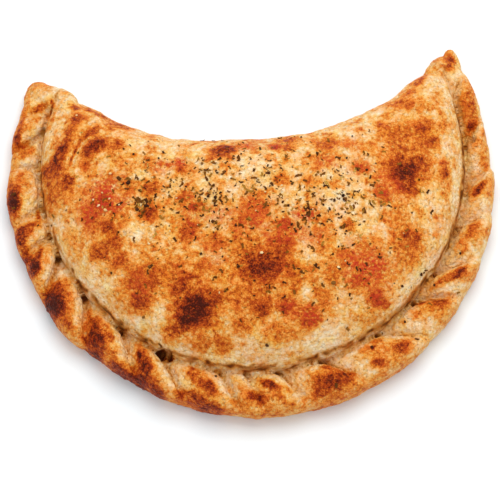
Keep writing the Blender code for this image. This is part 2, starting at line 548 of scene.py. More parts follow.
@dataclass
class Dough:
    """The baked dough in one piece: the filled pocket, its rope of folds and the sheet under them."""

    plan: Crescent = field(default_factory=Crescent)
    rope: RopeShape = field(default_factory=RopeShape)
    pocket_top: float = 52.0
    pocket_horn_top: float = 16.0
    pocket_rise_power: float = 0.9
    pocket_equator: float = 8.0
    pocket_fullness: float = 0.80
    pocket_lean: float = 0.10
    pocket_end_squareness: float = 12.0
    seam_share: float = 0.91
    rope_fullness: float = 0.9
    rope_end_squareness: float = 30.0
    relief_share: float = 0.38
    top_relief: float = 0.9
    side_relief: float = 0.26
    seam_relief: float = 0.36
    outer_relief: float = 0.65
    hidden_below: float = 0.75
    sole_height: float = 10.0
    sole_inset_share: float = 0.4
    sole_back_inset: float = 0.08
    sole_fullness: float = 0.5
    sole_end_squareness: float = 14.0
    below_floor: float = 3.0
    voxel: float = 1.02
    floor_slack: float = 0.03
    shift: np.ndarray = field(init=False, default_factory=lambda: np.zeros(3))
    pinches: tuple[Pinch, ...] = (
        Pinch((-122.0, 89.5, 7.5), 98.0, 26.0, 11.0, 0.75),
        Pinch((-114.5, 88.8, 10.5), 150.0, 33.0, 10.2, 0.90),
        Pinch((-120.0, 91.0, 8.0), 168.0, 22.0, 8.5, 0.85),
        Pinch((116.0, 110.5, 6.0), 92.0, 26.0, 6.5, 0.85),
        Pinch((110.2, 100.0, 7.5), 80.0, 38.0, 15.0, 0.74),
    )
    ridges: tuple[Ridge, ...] = (
        Ridge((-98.0, 62.0), (-112.0, 30.0), 4.2, 1.5),
        Ridge((-84.0, 50.0), (-95.0, 33.0), 4.8, 1.5),
        Ridge((-92.0, 54.0), (-104.0, 28.0), 2.8, -0.8),
        Ridge((-97.0, 44.0), (-103.0, 30.0), 1.0, -0.8),
        Ridge((115.0, 104.0), (110.0, 84.0), 1.6, -1.6),
        Ridge((-48.0, -52.0), (-45.0, -68.0), 3.5, -0.5),
    )
    pits: tuple[Pit, ...] = (
        Pit((-50.5, -77.2), 1.9, 3.6),
        Pit((-47.0, -78.8), 2.1, 4.0),
        Pit((-70.5, -62.5), 1.5, 1.8),
        Pit((-112.7, 77.0), 1.7, 3.0),
        Pit((127.0, 53.0), 1.9, 3.5),
    )

    def build(self) -> bpy.types.Object:
        """Models the dough in one skin, flat underneath, on the solid's box.

        Returns:
            The dough, before its fine relief.
        """
        parts = [
            self._shaped_ball("pocket", 110, 72, self._pocket),
            self._shaped_ball("sole", 56, 32, self._sole),
            self._shaped_ball("rope", 1200, 64, self._rope),
        ]
        parts += [self._shaped_ball("pinch", 22, 24, pinch.place) for pinch in self.pinches]
        body = join(parts, "baked_dough")
        apply_modifier(body, "REMESH", mode="VOXEL", voxel_size=self.voxel * MM)
        apply_modifier(body, "SMOOTH", factor=0.5, iterations=3)
        self._cut_flat(body)
        self._set_down(body)
        return body

    def _shaped_ball(
        self, name: str, rings: int, sides: int, place: Callable[[np.ndarray, np.ndarray], np.ndarray]
    ) -> bpy.types.Object:
        """A closed piece made from a UV sphere whose poles become its two ends.

        Args:
            name: The piece's name.
            rings: Rings along its length.
            sides: Sides round its section.
            place: Gives points in mm from shares of the length and angles round the section.

        Returns:
            The piece.
        """
        deselect_all()
        bpy.ops.mesh.primitive_uv_sphere_add(segments=sides, ring_count=rings, radius=1.0)
        ball = bpy.context.object
        ball.name = name
        unit = points_of(ball) * MM
        share = np.arccos(np.clip(-unit[:, 2], -1.0, 1.0)) / np.pi
        turn = np.arctan2(unit[:, 1], unit[:, 0])
        move_points(ball, place(share, turn))
        bpy.ops.object.mode_set(mode="EDIT")
        bpy.ops.mesh.select_all(action="SELECT")
        bpy.ops.mesh.normals_make_consistent(inside=False)
        bpy.ops.object.mode_set(mode="OBJECT")
        return ball

    def _pocket(self, share: np.ndarray, turn: np.ndarray) -> np.ndarray:
        """The filled bulge, from the folded back to the seam along the rope.

        Args:
            share: Shares of the way from the left horn.
            turn: Angles round its section, in radians, from the back over the top.

        Returns:
            The bulge's points, one row each.
        """
        front = self.plan.edge_point(self.plan.angle(share), self.seam_share * self.rope.width(share))
        cap = end_cap(share, self.pocket_end_squareness)
        across = squared(np.cos(turn), self.pocket_fullness) * cap
        across += self.pocket_lean * (1.0 - across**2)
        points = blend(front, self.plan.back_point(share), (0.5 + 0.5 * across)[:, None])
        top = blend(self.pocket_horn_top, self.pocket_top, swell(share) ** self.pocket_rise_power)
        rise = squared(np.sin(turn), self.pocket_fullness) * cap
        depth = np.where(rise > 0.0, top - self.pocket_equator, self.pocket_equator + self.below_floor)
        points[:, 2] = self.pocket_equator + depth * rise
        return points

    def _sole(self, share: np.ndarray, turn: np.ndarray) -> np.ndarray:
        """The flat sheet under the pocket and the rope, which makes the underside one face.

        Args:
            share: Shares of the way from the left horn.
            turn: Angles round its section, in radians, from the front over the top.

        Returns:
            The sheet's points, one row each.
        """
        front = self.plan.edge_point(self.plan.angle(share), self.sole_inset_share * self.rope.width(share))
        back = blend(self.plan.back_point(share), front, self.sole_back_inset)
        cap = end_cap(share, self.sole_end_squareness)
        across = squared(np.cos(turn), self.sole_fullness) * cap
        points = blend(front, back, (0.5 + 0.5 * across)[:, None])
        depth = np.where(np.sin(turn) > 0.0, self.sole_height, self.below_floor)
        points[:, 2] = depth * squared(np.sin(turn), self.sole_fullness) * cap
        return points

    def _rope(self, share: np.ndarray, turn: np.ndarray) -> np.ndarray:
        """The round edge, folded over itself: a thick tube whose folds stand out from it.

        Args:
            share: Shares of the way from the left horn.
            turn: Angles round its section, in radians, from the seam over the top.

        Returns:
            The rope's points, one row each.
        """
        angle = self.plan.angle(share)
        width = self.rope.width(share)
        inward, upward = np.cos(turn), np.sin(turn)
        outer_side = 0.5 - 0.5 * inward
        depth, height, setback = self.rope.relief(angle, outer_side, share)
        showing = np.clip(1.0 + upward / self.hidden_below, 0.0, 1.0)
        sunk = self.relief_share * width * blend(1.0, self.outer_relief, outer_side) * depth * showing
        cap = end_cap(share, self.rope_end_squareness)
        drawn_in = np.where(inward < 0.0, self.side_relief * sunk + setback, self.seam_relief * sunk)
        wide = 0.5 * width - drawn_in
        middle = 0.5 * self.rope.height(share)
        above = middle * (2.0 * height - 1.0) - self.top_relief * sunk
        tall = np.where(upward > 0.0, above, middle + self.below_floor)
        points = self.plan.edge_point(angle, 0.5 * width + wide * cap * squared(inward, self.rope_fullness))
        points[:, 2] = middle + tall * cap * squared(upward, self.rope_fullness)
        return points

    def _cut_flat(self, body: bpy.types.Object) -> None:
        """Cuts the underside flat on the floor.

        Args:
            body: The joined dough.
        """
        pick(body)
        bpy.ops.object.mode_set(mode="EDIT")
        bpy.ops.mesh.select_all(action="SELECT")
        bpy.ops.mesh.bisect(
            plane_co=(0, 0, 0), plane_no=(0, 0, 1), use_fill=True, clear_inner=True, threshold=2e-5
        )
        bpy.ops.mesh.select_all(action="SELECT")
        bpy.ops.mesh.quads_convert_to_tris()
        bpy.ops.object.mode_set(mode="OBJECT")

    def _set_down(self, body: bpy.types.Object) -> None:
        """Moves the dough so that its box is centred on the solid's box.

        Args:
            body: The dough, cut flat.
        """
        low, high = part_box(NODE)
        points = points_of(body)
        middle = 0.5 * (points.min(axis=0) + points.max(axis=0))
        wanted = 0.5 * (np.array(low) + np.array(high)) / MM
        self.shift = np.array((wanted[0] - middle[0], wanted[1] - middle[1], 0.0))
        points += self.shift
        points[:, 2] = np.where(np.abs(points[:, 2]) < self.floor_slack, 0.0, points[:, 2])
        move_points(body, points)


# ---------------------------------------------------------------- baking


@dataclass(frozen=True)
class Skin:
    """What the oven's work reads at each vertex of the dough."""

    points: np.ndarray
    normals: np.ndarray
    edges: np.ndarray
    angle: np.ndarray
    inset: np.ndarray
    share: np.ndarray
    width: np.ndarray

    @classmethod
    def of(cls, body: bpy.types.Object, dough: Dough) -> "Skin":
        """Reads the dough's vertices and where each lies on the rope.

        Args:
            body: The dough's object.
            dough: The sizes that it was made from.

        Returns:
            The skin as it is now.
        """
        points = points_of(body)
        ends = np.empty(len(body.data.edges) * 2, np.int32)
        body.data.edges.foreach_get("vertices", ends)
        angle, inset = dough.plan.find(points - dough.shift)
        share = np.clip(dough.plan.share(angle), 0.0, 1.0)
        width = dough.rope.width(share)
        return cls(points, normals_of(body), ends.reshape(-1, 2), angle, inset, share, width)

    def spread(self, values: np.ndarray, rounds: int) -> np.ndarray:
        """Averages values with those of the neighbouring vertices.

        Args:
            values: A value for each vertex.
            rounds: How many times they are averaged.

        Returns:
            The values, evened out.
        """
        first, second = self.edges[:, 0], self.edges[:, 1]
        count = np.bincount(self.edges.ravel(), minlength=len(values)).astype(float)
        for _ in range(rounds):
            total = np.bincount(first, values[second], len(values))
            total += np.bincount(second, values[first], len(values))
            values = 0.5 * values + 0.5 * total / np.maximum(count, 1.0)
        return values

    def hollowness(self, rounds: int) -> np.ndarray:
        """How far each vertex lies below its surroundings, in mm: positive in creases."""
        around = np.stack([self.spread(self.points[:, axis], rounds) for axis in range(3)], axis=1)
        return np.sum((around - self.points) * self.normals, axis=1)


class Mark(NamedTuple):
    """A baked mark, a stain or a pale patch: a soft, ragged ellipse on the dough.

    Its middle is a place (x, y) seen from above or, on the rope, an angle round the edge and a
    share of the way out. Its length and width are halves. Its shade is how brown it is baked,
    how dark the painted shade in a hole or crease is, or how strong the stain or the pallor is.
    """

    x: float
    y: float
    length: float
    width: float
    heading: float
    shade: float


def marks(*rows: tuple[float, ...]) -> tuple[Mark, ...]:
    """Turns rows of six numbers into marks."""
    return tuple(Mark(*row) for row in rows)


def distance_from(mark: Mark, right: np.ndarray, ahead: np.ndarray, rough: np.ndarray) -> np.ndarray:
    """How far places lie from a mark's middle, as a share of its half-lengths.

    Args:
        mark: The mark.
        right: How far to the right of its middle each place lies, in mm.
        ahead: How far ahead of its middle each place lies, in mm.
        rough: Noise at each place that breaks up the mark's outline.

    Returns:
        0 in its middle and about 1 on its uneven outline.
    """
    turn = math.radians(mark.heading)
    along = (right * math.cos(turn) + ahead * math.sin(turn)) / mark.length
    aside = (ahead * math.cos(turn) - right * math.sin(turn)) / mark.width
    return np.hypot(along, aside) + rough


@dataclass
class Oven:
    """Browns, stains and blisters the dough, and paints shade into its creases, holes and seam.

    Shades run from 0, raw cream, to 1, burnt. Heights are in mm.
    """

    pocket_shade: float = 0.21
    pocket_patches: float = 0.20
    foot_shade: float = 0.12
    pale_shade: float = 0.10
    stained_shade: float = 0.53
    darkest: float = 1.10
    halo_shade: float = 0.54
    halo_strength: float = 0.55
    halo_reach: float = 2.0
    rope_crest: tuple[float, float] = (0.46, 0.66)
    rope_mm_per_degree: float = 2.3
    seam_shade_strength: float = 0.95
    rim_shade_strength: float = 0.75
    crease_sharpening: float = 1.8
    fold_sharpening: float = 0.5
    wave_height: float = 0.8
    lump_height: float = 0.30
    thread_height: float = 0.12
    grain_height: float = 0.10
    blister_height: float = 0.18
    burnt_blister_height: float = 0.45
    pocket_marks: tuple[Mark, ...] = marks(
        (-89, 41, 9.2, 4.6, 39, 0.79), (-91, 52, 4.0, 2.9, 20, 0.50), (-99, 60, 5.2, 4.6, 30, 0.66),
        (-101, 70, 2.9, 2.3, 0, 0.68), (-108, 40, 10.9, 3.7, 66, 0.78), (-104, 20, 4.0, 6.3, 0, 0.69),
        (-116, 30, 3.4, 5.2, 0, 0.69), (-77, 42, 5.2, 4.0, 0, 0.62), (-74, 56, 6.2, 2.4, -15, 0.60),
        (-94, 29, 2.9, 4.0, 0, 0.60), (-113, 18, 4.6, 10.3, 0, 0.57), (-16, 36, 8.0, 4.3, 0, 0.70),
        (-15, 38, 4.0, 2.2, 0, 0.73), (21, 44, 6.2, 2.9, 0, 0.68), (43, 40, 8.0, 4.0, 0, 0.54),
        (14, 39, 3.8, 2.3, 0, 0.71), (-38, 4, 5.2, 5.7, 0, 0.53), (-35, -15, 6.3, 6.9, 0, 0.64),
        (2, -3, 8.6, 8.6, 0, 0.57), (7, -35, 16.5, 12.0, 0, 0.75), (7, -37, 10.0, 6.6, 20, 0.80),
        (-52, -37, 9.2, 5.2, 0, 0.47), (-35, -42, 5.7, 3.2, 0, 0.69), (-3, -24, 8.0, 5.2, 20, 0.56),
        (87, 27, 13.5, 9.0, -20, 0.69), (87, 22, 8.0, 7.0, 0, 0.84), (93, 31, 5.6, 4.0, 0, 0.70),
        (89, 14, 6.5, 6.5, 0, 0.69), (88, 14, 4.0, 4.0, 0, 0.74), (88, 69, 10.0, 3.6, -8, 0.56),
        (75, 53, 4.2, 3.4, 0, 0.61), (98, 53, 5.2, 5.7, 0, 0.62), (102, 45, 5.5, 5.0, 0, 0.64),
        (87, 46, 13.0, 10.0, 0, 0.55), (110, 55, 3.6, 4.0, 0, 0.47), (96, 85, 4.6, 2.9, 45, 0.60),
        (114, 98, 6.0, 6.5, 0, 0.64), (110, 28, 3.0, 6.9, 0, 0.63), (99, 28, 5.0, 9.0, 0, 0.59),
        (62, 25, 4.6, 3.4, 0, 0.58), (75, 8, 4.0, 4.0, 0, 0.67), (84, 2, 5.0, 8.0, 10, 0.42),
        (91, -16, 6.4, 7.0, 0, 0.67), (89, -20, 8.0, 9.5, 0, 0.55), (53, -29, 4.6, 3.4, 0, 0.54),
        (67, -35, 11.0, 12.0, 0, 0.50), (71, -51, 5.7, 5.2, 0, 0.66), (67, -60, 6.0, 3.4, 20, 0.40),
        (33, -63, 5.7, 5.2, 0, 0.65), (20, -58, 6.0, 5.0, 0, 0.69), (6, -61, 5.4, 4.6, 0, 0.68),
        (0, -54, 13.0, 8.0, 0, 0.57), (-16, -78, 6.2, 4.0, 0, 0.59), (16, -72, 7.5, 4.2, 0, 0.49),
        (-30, -58, 13.0, 11.5, 0, 0.73), (-31, -60, 10.0, 8.6, 20, 0.87), (-31, -61, 6.0, 5.6, 20, 0.95),
        (-21, -54, 5.2, 4.0, 0, 0.70), (-37, -64, 5.0, 4.4, 0, 0.95), (-43, -69, 6.0, 4.6, 0, 0.66),
        (-40, -48, 5.8, 5.2, 0, 0.71), (-59, -42, 11.5, 8.6, 0, 0.62), (-62, -53, 6.3, 5.2, 0, 0.66),
        (-71, -52, 6.3, 4.2, -30, 0.40), (-85, -24, 6.0, 5.0, 0, 0.66), (-81, -10, 4.0, 3.4, 0, 0.76),
        (-77, -20, 5.0, 4.6, 0, 0.67), (-58, -4, 5.4, 5.0, 0, 0.70), (-56, 12, 6.0, 4.6, 0, 0.66),
        (-27, -36, 5.0, 4.0, 0, 0.58), (-14, -41, 8.0, 4.7, 0, 0.49), (-44, -40, 6.9, 4.6, 0, 0.55),
        (-74, -30, 5.6, 4.6, 0, 0.62), (-84, 6, 6.4, 6.0, 0, 0.69), (-90, -2, 4.6, 6.4, 0, 0.64),
        (17, -13, 5.4, 4.6, 0, 0.66), (-20, -22, 6.6, 4.6, 0, 0.64), (41, -53, 5.6, 4.6, 0, 0.55),
        (-69, 12, 4.6, 4.0, 0, 0.53), (-97, 6, 3.5, 8.0, 0, 0.42), (-101, -14, 3.6, 8.0, 20, 0.42),
        (60, -44, 5.0, 4.0, 30, 0.60), (34, 14, 5.0, 3.6, 0, 0.45), (-38, 23, 5.0, 3.6, 0, 0.58),
        (55, -12, 3.6, 3.0, 0, 0.62), (23, -49, 5.0, 4.4, 0, 0.58), (92, 77, 4.6, 2.6, 20, 0.58),
        # Rows (-100, 40) and (-92, 50) are thin dark lines along the wrinkles by the left horn: painted
        # shade in the creases.
        (-30, -1, 4.4, 3.6, 0, 0.60), (-6, -14, 6.0, 5.0, 0, 0.53), (-100, 40, 9.0, 0.8, 68, 0.70),
        (-92, 50, 6.5, 1.8, 40, 0.70), (-103, 52, 4.0, 6.0, 0, 0.57), (45, -41, 5.0, 6.0, 0, 0.56),
        (17, -23, 7.5, 4.5, 0, 0.70), (17, 16, 5.0, 3.6, 0, 0.56), (22, 38, 4.0, 3.0, 0, 0.58),
        (-27, -76, 5.0, 4.0, 0, 0.55), (-110, 31, 4.0, 6.0, 0, 0.70), (-4, -69, 6.0, 4.0, 0, 0.56),
        (-88, 65, 9.0, 1.4, -25, 0.62),
    )
    rope_marks: tuple[Mark, ...] = marks(
        # The first two rows darken the pits near 245° and the third a small hole at the left tip: painted
        # shade in holes, not browning.
        (244.6, 0.08, 2.2, 1.1, 25, 1.00), (246.6, 0.06, 2.4, 1.0, 5, 0.98),
        (159.0, 0.01, 2.0, 1.6, 0, 0.90), (161.3, 0.40, 5.4, 2.0, 48, 0.62),
        (165.0, 0.80, 6.0, 1.6, 0, 0.54), (171.8, 0.68, 3.8, 2.4, 60, 0.68),
        (169.8, 0.80, 5.2, 2.2, 5, 0.80), (172.3, 0.34, 2.6, 2.2, 0, 0.60),
        (173.8, 0.57, 3.0, 1.8, 45, 0.58), (180.0, 0.64, 4.2, 2.2, 35, 0.58),
        (185.6, 0.82, 8.5, 4.0, 4, 0.88), (186.5, 0.85, 4.4, 2.8, 0, 0.97),
        (190.5, 0.25, 4.6, 1.3, 5, 0.73), (193.6, 0.62, 6.8, 3.4, 60, 0.67),
        (195.0, 0.82, 6.5, 3.2, 12, 0.80), (200.0, 0.46, 3.4, 1.8, 35, 0.70),
        (202.5, 0.73, 8.0, 4.2, 20, 0.82), (203.3, 0.71, 3.6, 2.4, 10, 0.90),
        (200.0, 0.84, 6.0, 2.6, 0, 0.76), (213.8, 0.72, 10.0, 7.0, 15, 0.82),
        (213.8, 0.76, 7.0, 5.0, 10, 0.94), (211.5, 0.55, 6.0, 3.4, 30, 0.74),
        (211.5, 0.26, 3.4, 1.6, 40, 0.55), (220.0, 0.80, 5.6, 2.0, 6, 0.72),
        (221.0, 0.27, 4.2, 1.7, 35, 0.60), (224.0, 0.34, 4.0, 2.6, 30, 0.69),
        # Row (219.0, -0.01) darkens the seam: painted shade.
        (219.0, -0.01, 3.4, 1.0, 0, 0.78), (226.6, 0.54, 10.5, 5.2, 30, 0.77),
        (227.6, 0.58, 6.6, 3.8, 25, 0.88), (227.0, 0.76, 8.0, 2.6, 10, 0.74),
        (229.5, 0.38, 4.6, 2.4, 35, 0.67), (230.5, 0.85, 5.8, 2.4, 22, 0.80),
        (233.6, 0.67, 3.6, 2.4, 35, 0.58), (236.5, 0.80, 8.0, 2.4, 0, 0.78),
        (240.8, 0.44, 12.5, 3.6, 40, 0.76), (242.2, 0.53, 6.5, 3.2, 36, 0.79),
        (241.5, 0.76, 9.5, 4.6, 0, 0.80), (241.5, 0.80, 4.6, 2.4, 0, 0.86),
        (247.0, 0.84, 5.6, 2.6, 20, 0.78), (252.4, 0.74, 3.8, 2.6, 0, 0.72),
        (256.8, 0.44, 11.0, 3.0, 28, 0.72), (259.0, 0.46, 4.6, 2.2, 28, 0.74),
        (256.0, 0.74, 7.5, 3.2, 10, 0.66), (254.0, 0.20, 3.2, 1.2, 20, 0.60),
        (260.0, 0.84, 8.0, 2.2, 4, 0.74), (253.0, 0.90, 6.4, 1.2, 0, 0.58),
        (267.0, 0.74, 6.0, 2.4, 18, 0.50), (274.2, 0.37, 6.8, 2.4, 30, 0.77),
        (274.7, 0.37, 3.2, 1.7, 20, 0.78), (271.5, 0.62, 6.5, 4.0, 10, 0.72),
        (277.6, 0.69, 2.2, 1.4, 40, 0.58), (279.0, 0.54, 2.4, 1.6, 20, 0.44),
        (290.4, 0.56, 13.0, 5.0, 9, 0.71), (291.8, 0.60, 7.6, 3.8, 6, 0.76),
        (288.5, 0.72, 11.0, 3.0, 0, 0.70), (290.9, 0.28, 4.2, 2.0, 30, 0.63),
        (303.0, 0.66, 4.6, 2.4, 20, 0.66), (303.7, 0.33, 1.5, 1.2, 0, 0.90),
        (310.0, 0.65, 6.2, 3.8, 10, 0.69), (310.2, 0.68, 3.2, 2.0, 0, 0.71),
        (305.7, 0.24, 3.6, 1.6, 15, 0.56), (290.0, 0.90, 8.6, 1.2, 0, 0.50),
        (300.5, 0.86, 5.4, 1.5, 0, 0.44), (318.9, 0.36, 3.2, 1.6, 0, 0.55),
        (321.8, 0.23, 3.2, 1.8, 20, 0.67), (324.6, 0.58, 7.4, 3.4, 32, 0.67),
        (324.9, 0.61, 3.2, 1.7, 30, 0.67), (329.2, 0.30, 3.4, 1.6, 20, 0.54),
        (331.8, 0.46, 5.4, 2.3, 30, 0.62), (333.9, 0.60, 5.8, 2.6, 33, 0.74),
        (333.6, 0.62, 3.2, 1.6, 33, 0.84), (340.2, 0.46, 3.0, 1.7, 20, 0.53),
        (345.8, 0.49, 6.4, 2.8, 15, 0.64), (345.8, 0.49, 3.0, 1.5, 10, 0.66),
        (356.4, 0.46, 5.2, 2.4, 36, 0.69), (356.9, 0.49, 3.0, 1.6, 36, 0.84),
        (364.5, 0.62, 5.0, 2.4, 0, 0.50), (374.2, 0.43, 5.6, 2.6, 36, 0.72),
        (379.0, 0.48, 8.5, 4.2, 15, 0.54), (378.0, 0.60, 3.8, 2.2, 20, 0.57),
        (390.5, 0.45, 3.0, 3.0, 0, 0.60), (392.6, 0.70, 4.0, 3.6, 0, 0.66),
    )
    sauce_marks: tuple[Mark, ...] = marks(
        (-84, 12, 8.6, 9.0, 0, 1.00), (-91, 0, 5.2, 8.6, 0, 0.80), (-78, 4, 8.0, 6.7, 0, 1.00),
        (-74, 19, 4.0, 3.4, 0, 0.40), (-50, 26, 7.4, 4.0, 0, 0.60), (-41, 28, 4.4, 2.8, 0, 1.00),
        (2, -4, 8.0, 9.0, 0, 0.70), (-34, -5, 5.7, 12.6, 0, 0.50), (30, -6, 6.2, 4.0, 0, 1.00),
        (42, 27, 6.3, 4.0, 0, 0.55), (-2, 39, 5.7, 2.9, 0, 0.50), (56, 39, 6.9, 3.4, 0, 0.45),
        (62, 25, 6.2, 5.0, 0, 0.65), (75, 9, 5.6, 5.6, 0, 0.70), (65, -35, 11.5, 10.5, 0, 1.00),
        (60, -22, 6.0, 5.0, 0, 0.40), (33, -63, 5.7, 5.2, 0, 0.95), (71, -50, 5.7, 5.2, 0, 0.60),
        (53, -29, 5.2, 4.0, 0, 0.50), (-17, -6, 12.6, 5.7, 0, 0.50), (19, -16, 12.7, 7.5, 0, 0.70),
        (33, -18, 10.3, 5.2, 0, 0.50), (81, 12, 5.2, 6.9, 0, 0.50), (-62, -43, 7.7, 8.0, 0, 0.40),
        (14, 39, 5.0, 2.6, 0, 0.70), (20, -58, 6.0, 5.0, 0, 0.50), (-4, -12, 8.0, 6.0, 0, 0.50),
        (74, 20, 6.0, 4.0, 40, 0.50), (60, -42, 8.0, 5.0, 20, 0.60), (12, 2, 9.0, 5.0, 0, 0.20),
        (-20, -30, 6.0, 8.0, 0, 0.35),
    )
    pale_marks: tuple[Mark, ...] = marks(
        (47, 4, 12.6, 7.4, -15, 1.00), (55, 0, 8.5, 7.0, 0, 1.00), (-59, -12, 9.7, 7.0, 0, 0.55),
        (-91, -27, 4.7, 9.5, 0, 0.45), (-50, -60, 4.6, 15.0, 4, 0.95), (41, -73, 8.5, 6.5, 0, 1.00),
        (31, -51, 5.2, 5.2, 0, 0.90), (4, 24, 11.5, 6.9, 0, 0.45), (112, 41, 3.4, 25.8, 0, 0.60),
        (44, -68, 11.5, 4.6, 15, 0.80), (99, -30, 16.0, 5.4, 52, 0.90), (-85, -42, 10.6, 3.0, -45, 0.30),
        (-43, -78, 13.7, 3.4, -25, 0.40), (-69, 38, 6.9, 4.6, 0, 0.50), (53, 18, 9.3, 4.6, 0, 0.40),
        (-6, 22, 9.2, 4.6, 0, 0.50), (-97, 39, 12.0, 2.4, 60, 1.00), (62, 66, 11.5, 1.7, 20, 0.50),
        (77, 76, 5.7, 2.3, 20, 0.70), (68, 50, 4.4, 5.0, 0, 0.60), (76, -14, 4.6, 7.0, 20, 0.60),
        (31, -28, 5.0, 6.0, 0, 0.60), (94, -36, 7.0, 4.0, 50, 0.90), (-22, 14, 14.0, 6.0, 0, 0.35),
        (-40, 38, 12.0, 4.0, -8, 0.55), (70, 62, 10.0, 3.4, 20, 0.60), (-110, 66, 3.4, 6.0, 0, 0.30),
        (76, -27, 7.0, 6.0, 0, 1.00), (-30, -21, 6.5, 5.5, 0, 1.00), (-4, 10, 9.0, 4.5, 0, 0.80),
        (98, -22, 7.0, 7.0, 0, 1.00), (-80, -41, 6.0, 4.0, -30, 0.70), (-63, 21, 6.5, 5.0, 0, 0.90),
        (-98, -4, 4.5, 8.0, 0, 0.90), (13, 4, 6.0, 4.5, 0, 0.80), (75, 39, 6.0, 5.0, 0, 0.80),
        (63, 46, 6.0, 4.0, 0, 0.70), (-8, 2, 8.0, 5.0, 0, 0.90), (-50, -68, 3.0, 5.0, 0, 0.90),
        (96, 11, 3.0, 4.0, 0, 0.70), (-43, -53, 3.0, 4.0, 0, 0.60),
    )

    def finish(self, body: bpy.types.Object, dough: Dough) -> None:
        """Raises the fine relief of the dough, paints its bake and sauce, and paints shade into its
        crevices.

        Args:
            body: The dough's object.
            dough: The sizes that it was made from.
        """
        self._sharpen(body, dough)
        skin = Skin.of(body, dough)
        bake, sauce = self._colour(skin, dough)
        self._blister(body, skin, dough, bake)
        crevice = self._painted_crease_shade(skin, dough)
        for name, values in (("bake", bake), ("sauce", sauce), ("crevice", crevice)):
            layer = body.data.attributes.new(name, "FLOAT", "POINT")
            layer.data.foreach_set("value", values.astype(np.float32))

    def _sharpen(self, body: bpy.types.Object, dough: Dough) -> None:
        """Deepens the creases between the folds, opens the pits and raises the ridges.

        Args:
            body: The dough's object.
            dough: The sizes that it was made from.
        """
        skin = Skin.of(body, dough)
        lift = -self.crease_sharpening * np.clip(skin.hollowness(8), -0.2, 1.8)
        lift -= self.fold_sharpening * np.clip(skin.hollowness(40), -0.3, 3.0)
        for shape in (*dough.ridges, *dough.pits):
            lift += shape.lift(skin.points)
        lift *= soft_step(skin.points[:, 2], 0.5, 5.0)
        move_points(body, skin.points + skin.normals * lift[:, None])

    def _colour(self, skin: Skin, dough: Dough) -> tuple[np.ndarray, np.ndarray]:
        """Bakes and stains the dough, mark by mark.

        Args:
            skin: The dough's skin, sharpened.
            dough: The sizes that it was made from.

        Returns:
            How brown and how sauce-stained each vertex is.
        """
        points = skin.points
        x, y = points[:, 0], points[:, 1]
        broad = smooth_noise(points, 18.0, octaves=3, seed=1)
        ragged = smooth_noise(points, 7.0, octaves=3, seed=2)
        fine = smooth_noise(points, 2.4, octaves=2, seed=3)
        rough = 0.22 * ragged + 0.10 * fine
        across = 1.0 - skin.inset / skin.width
        on_rope = soft_step(across, 0.00, 0.08)
        patchy = soft_step(broad + 0.6 * ragged, -0.25, 0.45)
        pocket = self.pocket_shade + self.pocket_patches * patchy + 0.06 * ragged + 0.05 * fine
        foot = (1.0 - soft_step(-across, 0.10, 0.50)) * soft_step(skin.angle, 188.0, 204.0)
        pocket = blend(pocket, self.foot_shade + 0.08 * ragged, 0.8 * foot)
        bake = blend(pocket, self._rope_bake(skin, dough, across, ragged) + 0.05 * broad, on_rope)
        for mark in self.pale_marks:
            near = 1.0 - soft_step(distance_from(mark, x - mark.x, y - mark.y, rough), 0.25, 1.4)
            bake = blend(bake, self.pale_shade + 0.06 * ragged, mark.shade * near * (1.0 - on_rope))
        sauce = np.zeros(len(points))
        for mark in self.sauce_marks:
            near = 1.0 - soft_step(distance_from(mark, x - mark.x, y - mark.y, 1.4 * rough), 0.25, 1.7)
            sauce = np.maximum(sauce, mark.shade * near * (1.0 - on_rope))
        bake = np.maximum(bake, blend(bake, self.stained_shade, 0.65 * sauce))
        for mark in self.pocket_marks:
            away = distance_from(mark, x - mark.x, y - mark.y, rough)
            bake = self._brown_or_shade(bake, mark.shade, away, ragged, fine, 1.0 - on_rope)
        for mark in self.rope_marks:
            right = (skin.angle - mark.x) * self.rope_mm_per_degree
            away = distance_from(mark, right, (across - mark.y) * skin.width, rough)
            bake = self._brown_or_shade(bake, mark.shade, away, ragged, fine, on_rope)
        return np.clip(bake, 0.0, self.darkest), np.clip(sauce, 0.0, 1.0)

    def _brown_or_shade(
        self,
        bake: np.ndarray,
        shade: float,
        away: np.ndarray,
        ragged: np.ndarray,
        fine: np.ndarray,
        where: np.ndarray,
    ) -> np.ndarray:
        """Browns one mark, or paints the shade in a hole or crease, with a golden halo round it.

        Args:
            bake: How brown the dough is so far.
            shade: How brown the mark is, or how dark its painted shade is.
            away: How far each vertex lies from its middle, as a share of its half-lengths.
            ragged: Noise that makes its halo uneven.
            fine: Noise that makes its core uneven.
            where: 1 on the part of the dough that it belongs to and 0 off it.

        Returns:
            How brown the dough is with the mark.
        """
        halo = self.halo_strength * (1.0 - soft_step(away, 0.5, self.halo_reach)) * where
        bake = np.maximum(bake, blend(bake, min(shade, self.halo_shade) + 0.05 * ragged, halo))
        core = (1.0 - soft_step(away, 0.25, 1.45)) * where
        return np.maximum(bake, blend(bake, shade + 0.03 * fine, core))

    def _rope_bake(self, skin: Skin, dough: Dough, across: np.ndarray, ragged: np.ndarray) -> np.ndarray:
        """How brown the rope is: cream in its creases and along each fold's rim, brown on the crests.

        Args:
            skin: The dough's skin.
            dough: The sizes that it was made from.
            across: How far out over the rope each vertex lies.
            ragged: Noise that makes the browning uneven.

        Returns:
            The shade at each vertex.
        """
        _, through = dough.rope.fold_at(skin.angle, across)
        crest = blend(*self.rope_crest, skin.share)
        off_crest = np.abs(through - crest + 0.07 * ragged)
        browned = (1.0 - soft_step(off_crest, 0.06, 0.36)) * soft_step(across + 0.10 * ragged, 0.12, 0.42)
        outside = soft_step(across, 0.60, 0.95) * (1.0 - 0.85 * soft_step(skin.angle, 285.0, 330.0))
        return 0.16 + 0.23 * browned + 0.26 * outside * (1.0 - browned) + 0.08 * ragged

